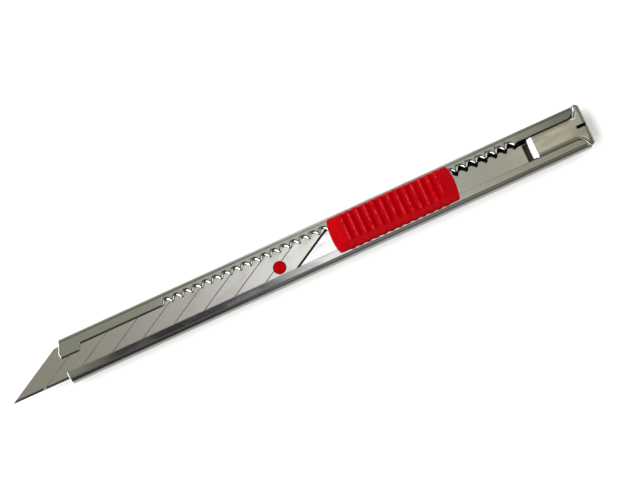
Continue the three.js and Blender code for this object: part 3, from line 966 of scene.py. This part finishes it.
@dataclass
class Grip:
    """The ribbed thumb grip: sloped ends and sides, rounded ribs and a recess below."""

    datum: Datum
    front: float = 2.3
    rear: float = 37.7
    low: float = -4.4
    high: float = 5.2
    base: float = 3.75
    top: float = 8.1
    skirt: float = 0.9
    side_slope: float = 1.1
    rib_pitch: float = 2.24
    ribs: int = 13
    first_rib: float = 6.6
    rib_depth: float = 0.5
    rib_crest: float = 0.42
    rib_foot: float = 0.88
    side_groove: float = 0.75
    bulge: float = 0.7
    corner: float = 0.8
    wall: float = 1.2
    recess: float = 1.4
    softness: float = 0.1
    ceiling: float = 60.0
    end_zone: float = 6.0

    def end_inset(self, y: float) -> float:
        """How far an end falls back from its bulge at a place across it.

        Args:
            y: the place across the grip.

        Returns:
            The distance, at least 0.
        """
        middle, half = (self.low + self.high) / 2, (self.high - self.low) / 2
        share = min(abs(y - middle) / half, 1)
        over = max(abs(y - middle) - (half - self.corner), 0)
        return self.bulge * share ** 2 + self.corner - math.sqrt(max(self.corner ** 2 - over ** 2, 0))

    def rib_shape(self, distance: float) -> float:
        """A rib's height, from 1 on its crest to 0 in the groove, at a distance along from the crest.

        Args:
            distance: the distance along from the crest.

        Returns:
            The share of the rib's full height.
        """
        share = np.clip((distance - self.rib_crest) / (self.rib_foot - self.rib_crest), 0, 1)
        flank = float(0.5 + 0.5 * math.cos(math.pi * share))
        crown = 0.2 * min(distance / self.rib_crest, 1) ** 2 * (1 - share)
        return flank - crown

    def height(self, x: float, y: float, inset: float) -> float:
        """The height of the upper face: the lowest of its slopes and its ribbed top, softly joined.

        Args:
            x: the place along the grip.
            y: the place across it.
            inset: how far its ends fall back there.

        Returns:
            The height above the sleeve's back.
        """
        shoulder = self.base + self.skirt
        valley = self.top - self.rib_depth
        phase = (x - self.first_rib) / self.rib_pitch
        ribbed = -0.5 < phase < self.ribs - 0.5
        rib = self.rib_shape(abs(phase - round(phase)) * self.rib_pitch) if ribbed else 0
        top = valley + self.rib_depth * rib
        run = self.first_rib - self.rib_pitch / 2 - self.front
        end_rise = (valley - shoulder) / run
        side_rise = (self.top - shoulder) / self.side_slope
        ends = shoulder + end_rise * min(x - self.front - inset, self.rear - inset - x)
        sides = shoulder + side_rise * min(y - self.low, self.high - y) - (1 - rib) * self.side_groove
        soft = self.softness
        shares = [math.exp(-min(h - self.base, self.ceiling) / soft) for h in (top, ends, sides)]
        return -soft * math.log(sum(shares)) + self.base

    def build(self) -> bpy.types.Object:
        """Builds the grip as one closed shell between its upper face and its underside.

        Returns:
            The finished object.
        """
        edge = np.array([0, 0.04, 0.12, 0.25, 0.45, 0.7, 0.95, 1.2, 1.22])
        run = np.arange(self.first_rib - self.rib_pitch / 2, self.rear - 3, self.rib_pitch / 16)
        along = np.unique(np.round(np.concatenate([
            self.front + edge, self.front + np.arange(1.5, 3.2, 0.25), run, self.rear - edge,
            self.rear - np.arange(1.5, 3.2, 0.25)]), 4))
        across = np.unique(np.round(np.concatenate([
            self.low + edge, np.linspace(self.low + 1.7, self.high - 1.7, 14), self.high - edge]), 4))
        zone = self.end_zone
        middle = np.zeros((len(along), len(across), 3))
        over, under = np.zeros_like(middle), np.zeros_like(middle)
        for i, station in enumerate(along):
            for j, y in enumerate(across):
                inset = self.end_inset(y)
                x = station
                if station < self.front + zone:
                    x += inset * (1 - (station - self.front) / zone)
                if station > self.rear - zone:
                    x -= inset * (1 - (self.rear - station) / zone)
                gap = min(station - self.front, self.rear - station, y - self.low, self.high - y)
                roof = self.height(x, y, inset) - eased(gap, 0.3) * 0.8
                floor = self.base + (self.recess if gap > self.wall + 0.01 else 0)
                middle[i, j] = (x, y, 0)
                over[i, j, 2], under[i, j, 2] = max(roof, floor + 0.3), floor
        points, faces = shell(middle, over, under)
        piece = Piece("ribbed_grip", RED_PLASTIC, Slot.MOULDING, Body.GRIP, ("thumb_grip",), smooth_angle=42)
        return piece.build(self.datum.metres(points), faces)


@dataclass
class EndClip:
    """One bent strip: catch, step, face tongue with a flared cap, end wall and pocket leg."""

    datum: Datum
    sheet: float = 0.5
    half_width: float = 2.8
    cap_half: float = 6.0
    wall_half: float = 4.7
    slit_half: float = 0.45
    slit_start: float = 72.2
    face: float = 3.35
    end: float = 74.95
    pad: float = -1.25
    edge_round: float = 0.12
    catch_rear: float = 59.5
    close_fit: float = 0.22

    def path(self) -> np.ndarray:
        """The middle line of the strip in X and Z, from the catch to the tip of the pocket leg.

        Returns:
            The points of the line.
        """
        corners = [
            (58.85, 0.9), (59.15, 2.6), (60.35, self.face), (self.end, self.face), (self.end, -0.45),
            (72, -0.55), (62, self.pad), (47, self.pad), (42.5, -0.5), (40.5, -0.5), (37.5, self.pad + 0.2),
        ]
        line = filleted(corners, [0.4, 0.7, 0.45, 0.45, 8, 20, 20, 4, 2], 7)
        dense = [line[0]]
        for before, after in zip(line[:-1], line[1:]):
            parts = max(1, math.ceil(np.linalg.norm(after - before) / (0.2 if after[0] > 71 else 0.9)))
            dense += [before + (after - before) * k / parts for k in range(1, parts + 1)]
        return np.array(dense)

    def half_at(self, x: float, z: float, along_leg: bool) -> float:
        """Half the strip's width at a point of its path.

        Args:
            x: the point's place along the knife.
            z: its height.
            along_leg: whether it is on the pocket leg.

        Returns:
            Half the width.
        """
        if along_leg:
            tip = max(0.0, 39.0 - x)
            taper = float(np.interp(x, [37.3, 60, 74.2, 74.7], [2.3, self.half_width, self.half_width, 3.1]))
            return taper - (1.5 - math.sqrt(max(1.5 ** 2 - tip ** 2, 0.02)))
        if z < 2.6 and x > 70:
            return float(np.interp(z, [-0.3, 0.0, 0.35], [3.2, 4.3, self.wall_half]))
        flare = [71.3, 71.9, 72.5, 73.0, 73.35, 73.6, 73.9, 74.3, 74.65, 74.9, 75.2]
        width = [self.half_width, 2.9, 3.25, 3.9, 4.8, 5.7, self.cap_half, 5.95, 5.75, 5.4, self.wall_half]
        return float(np.interp(x, flare, width))

    def build(self) -> bpy.types.Object:
        """Builds the strip as one shell with the snap slit cut through its end.

        Returns:
            The finished object.
        """
        line = self.path()
        along = np.gradient(line, axis=0)
        along /= np.linalg.norm(along, axis=1)[:, None]
        turned = int(np.argmax((line[:, 0] > 70) & (line[:, 1] < -0.2)))
        reach = np.concatenate([[0], np.cumsum(np.linalg.norm(np.diff(line, axis=0), axis=1))])
        edges = np.array([0, 0.03, 0.07, 0.12])
        rows, over = [], []
        for i, (x, z) in enumerate(line):
            half = self.half_at(x, z, i >= turned)
            side = np.concatenate([half - edges, [0.5 * (half + 0.8), 0.8, self.slit_half]])
            close = self.close_fit if i < turned and z > 3 and half < self.wall_half else 0
            ys = np.concatenate([-side - close * np.clip((side - 0.8) / (half - 0.8), 0, 1), side[::-1]])
            gap = np.concatenate([half - side, (half - side)[::-1]])
            thin = np.maximum(eased(gap, self.edge_round),
                              eased(min(reach[i], reach[-1] - reach[i]), self.edge_round))
            offset = self.sheet / 2 - thin
            rows.append([(x, y, z) for y in ys])
            over.append([(-along[i][1] * t, 0, along[i][0] * t) for t in offset])
        middle, over = np.array(rows), np.array(over)
        slit_rows = [i for i in range(len(line) - 1) if i < turned and line[i][0] > self.slit_start
                     and line[i][1] > 0.3]
        centre = len(middle[0]) // 2 - 1
        slit = (range(slit_rows[0], slit_rows[-1]), range(centre, centre + 1))
        points, faces = shell(middle, over, -over, [slit])
        piece = Piece("end_clip_strip", CLIP_STEEL, Slot.CLIP, Body.CLIP, ("end_clip",))
        return piece.build(self.datum.metres(points), faces, self.is_inside)

    def is_inside(self, face: bpy.types.MeshPolygon) -> bool:
        """Whether a face looks at the sleeve or stands at the catch.

        Args:
            face: a face of the clip.

        Returns:
            True for a face that gets the mill surface darkened with painted shade.
        """
        height = (face.center.z - self.datum.place.z) / MM
        along = (face.center.x - self.datum.place.x) / MM
        leg_top = height < 0 and face.normal.z > 0.3
        catch = along < self.catch_rear and height > 0 and height < 2.2
        return leg_top or catch or (height > 2.5 and face.normal.z < -0.3)


@dataclass
class Carrier:
    """The carrier's own sheets, rivets, spring, studs and washers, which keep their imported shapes."""

    edge: float = 0.05

    def dress(self) -> None:
        """Gives each node its finish and a softened edge."""
        finishes = {
            # the carrier tongue's near-black colour is painted shade
            "carrier_plate": (CARRIER_STEEL, Slot.CARRIER), "carrier_tongue": (SHADE_BLACK_STEEL, Slot.SPRING),
            "lock_spring": (SPRING_STEEL, Slot.SPRING),
            "grip_washer_front": (SPRING_STEEL, Slot.SPRING), "grip_washer_rear": (SPRING_STEEL, Slot.SPRING),
            "grip_stud_front": (RIVET_STEEL, Slot.RIVET), "grip_stud_rear": (RIVET_STEEL, Slot.RIVET),
            "carrier_rivet_front": (RIVET_STEEL, Slot.RIVET), "carrier_rivet_rear": (RIVET_STEEL, Slot.RIVET),
            "carrier_rivet_lock": (RIVET_STEEL, Slot.RIVET),
        }
        for name, (finish, slot) in finishes.items():
            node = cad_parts[name]
            node.data.materials.clear()
            node.data.materials.append(finish.material())
            bevel = node.modifiers.new("soft_edge", "BEVEL")
            bevel.width = self.edge * MM
            bevel.segments = 2
            bevel.limit_method = "ANGLE"
            bevel.angle_limit = math.radians(40)
            LOG.info("%s: dressed in %s", name, finish.name)


# ---------------------------------------------------------------- the studio


@dataclass(frozen=True)
class Card:
    """A long card over the knife: where its band starts across, and its tones by place along the knife."""

    low: float
    stops: tuple[tuple[float, Colour], ...]


@dataclass
class Studio:
    """Floor, surrounding light and camera."""

    datum: Datum
    lens: float = 200.0
    sensor: float = 36.0
    view_width: float = 161.4
    tilt: float = math.radians(13)
    roll: float = math.radians(24.488)
    aim: tuple[float, float, float] = (-3.2, 1.59, 3.6)
    strength: float = 1.0
    card_reach: float = 0.14
    card_blur: float = 0.012
    gap_rim: float = 0.38
    room_front: Colour = (3.0, 3.0, 3.1)
    room_dim: Colour = (0.95, 0.95, 0.92)
    room_low: Colour = (0.25, 0.25, 0.24)
    room_lit: Colour = (4.3, 4.3, 4.2)
    room_tail: Colour = (3.2, 3.2, 3.1)
    cards: tuple[Card, ...] = (
        Card(-1.0, (
            (-95, (0.05, 0.05, 0.05)), (-30, (0.06, 0.055, 0.065)), (-12, (0.22, 0.22, 0.24)),
            (30, (0.26, 0.25, 0.25)), (60, (0.2, 0.2, 0.17)), (80, (0.16, 0.16, 0.13)))),
        Card(0.10, (
            (-95, (0.33, 0.34, 0.26)), (-50, (0.35, 0.36, 0.28)), (-32, (0.50, 0.52, 0.45)),
            (0, (0.62, 0.64, 0.57)), (38, (0.52, 0.53, 0.45)), (58, (0.46, 0.47, 0.38)),
            (66, (0.24, 0.24, 0.20)), (80, (0.18, 0.18, 0.15)))),
        Card(0.195, (
            (-95, (0.34, 0.33, 0.26)), (-55, (0.41, 0.40, 0.34)), (-38, (0.56, 0.56, 0.54)),
            (-22, (1.0, 1.0, 1.02)), (-10, (1.5, 1.5, 1.5)), (10, (1.5, 1.5, 1.5)), (30, (0.6, 0.6, 0.55)),
            (44, (0.50, 0.50, 0.42)), (58, (0.55, 0.54, 0.44)), (61, (0.95, 0.86, 0.74)),
            (68, (0.78, 0.74, 0.58)), (74, (0.45, 0.47, 0.36)), (84, (0.3, 0.32, 0.24)))),
        Card(0.275, (
            (-95, (0.32, 0.32, 0.28)), (-67, (0.30, 0.30, 0.26)), (-63, (0.04, 0.038, 0.042)),
            (-40, (0.05, 0.045, 0.05)), (-22, (0.12, 0.11, 0.14)), (-12, (0.22, 0.21, 0.25)),
            (-7, (1.3, 1.3, 1.35)), (12, (1.3, 1.3, 1.3)), (34, (0.6, 0.6, 0.52)), (58, (0.46, 0.44, 0.35)),
            (80, (0.36, 0.33, 0.25)))),
        Card(0.42, (
            (-95, (0.30, 0.31, 0.26)), (-40, (0.34, 0.35, 0.30)), (0, (0.7, 0.7, 0.7)),
            (40, (0.5, 0.5, 0.48)), (62, (0.16, 0.18, 0.2)), (80, (0.12, 0.14, 0.16)))),
    )

    def floor(self) -> None:
        """A wide pale floor just under the knife."""
        half = 3.0
        corners = [(-half, -half, 0), (half, -half, 0), (half, half, 0), (-half, half, 0)]
        mesh = bpy.data.meshes.new("floor")
        mesh.from_pydata(corners, [], [(0, 1, 2, 3)])
        mesh.materials.append(FLOOR.material())
        floor = bpy.data.objects.new("floor", mesh)
        bpy.context.scene.collection.objects.link(floor)

    def light(self) -> None:
        """An uneven room, brightest toward the blade's end, with long cards overhead."""
        world = bpy.data.worlds.new("studio")
        bpy.context.scene.world = world
        world.use_nodes = True
        graph = Graph(world.node_tree)
        direction = graph.node("ShaderNodeTexCoord", output="Generated")
        dx, dy, dz = (graph.node("ShaderNodeSeparateXYZ", None, {0: direction}, axis) for axis in "XYZ")
        along = graph.node("ShaderNodeMapRange", None, {
            "Value": dx, "From Min": -self.card_reach, "From Max": self.card_reach})
        lit = graph.mix(graph.step(dz, 0.25, 0.45), self.room_low, self.room_lit)
        front = graph.mix(graph.step(dx, -0.72, -0.82), lit, self.room_front)
        tail = graph.mix(graph.step(dx, 0.2, 0.5) * graph.step(dz, 0.6, 0.4), self.room_dim, self.room_tail)
        colour = graph.mix(graph.step(dx, -0.1, -0.5), tail, front)
        cards = None
        soft = self.card_blur
        for card in self.cards:
            stops = [((at - self.aim[0]) * MM / self.camera_distance() / self.card_reach / 2 + 0.5, tone)
                     for at, tone in card.stops]
            tone = graph.node("ShaderNodeValToRGB", {"stops": stops}, {"Fac": along})
            if cards:
                tone = graph.mix(graph.step(dy, card.low - soft, card.low + soft), cards, tone)
            cards = tone
        rim = self.gap_rim
        middle = graph.step(dx, -rim, -rim + 0.1) * graph.step(dx, rim, rim - 0.1)
        colour = graph.mix(middle * graph.step(dz, -0.05, 0.05), colour, cards)
        background = graph.node("ShaderNodeBackground", None, {"Color": colour, "Strength": self.strength})
        graph.node("ShaderNodeOutputWorld", None, {"Surface": background})

    def camera_distance(self) -> float:
        """How far the camera stands from its aim, in metres."""
        return self.lens / self.sensor * self.view_width * MM

    def camera(self) -> None:
        """A long lens above the knife, tilted to the edge side and rolled."""
        data = bpy.data.cameras.new("camera")
        data.lens = self.lens
        data.sensor_width = self.sensor
        distance = self.camera_distance()
        back = Vector((0, -math.sin(self.tilt), math.cos(self.tilt)))
        x_axis = Vector((1, 0, 0))
        away = back.cross(x_axis)
        right = x_axis * math.cos(self.roll) - away * math.sin(self.roll)
        up = x_axis * math.sin(self.roll) + away * math.cos(self.roll)
        target = Vector(self.datum.metres(np.array(self.aim)))
        camera = bpy.data.objects.new("camera", data)
        camera.matrix_world = Matrix.Translation(target + back * distance) @ Matrix(
            (right, up, back)).transposed().to_4x4()
        data.clip_start = 0.05
        data.clip_end = 20
        bpy.context.scene.collection.objects.link(camera)
        bpy.context.scene.camera = camera

    def build(self) -> None:
        """Sets up the whole studio."""
        self.floor()
        self.light()
        self.camera()
        settings = bpy.context.scene.view_settings
        settings.view_transform = "Standard"
        settings.look = "None"


def main() -> None:
    """Builds the studio and the knife, logging each piece as it is made."""
    logging.basicConfig(level=logging.INFO, format="%(name)s: %(message)s")
    datum = Datum()
    Studio(datum).build()
    for part in (Sleeve(datum), Blade(datum), Stud(datum), Grip(datum), EndClip(datum)):
        part.build()
    Carrier().dress()


if __name__ == "__main__":
    main()
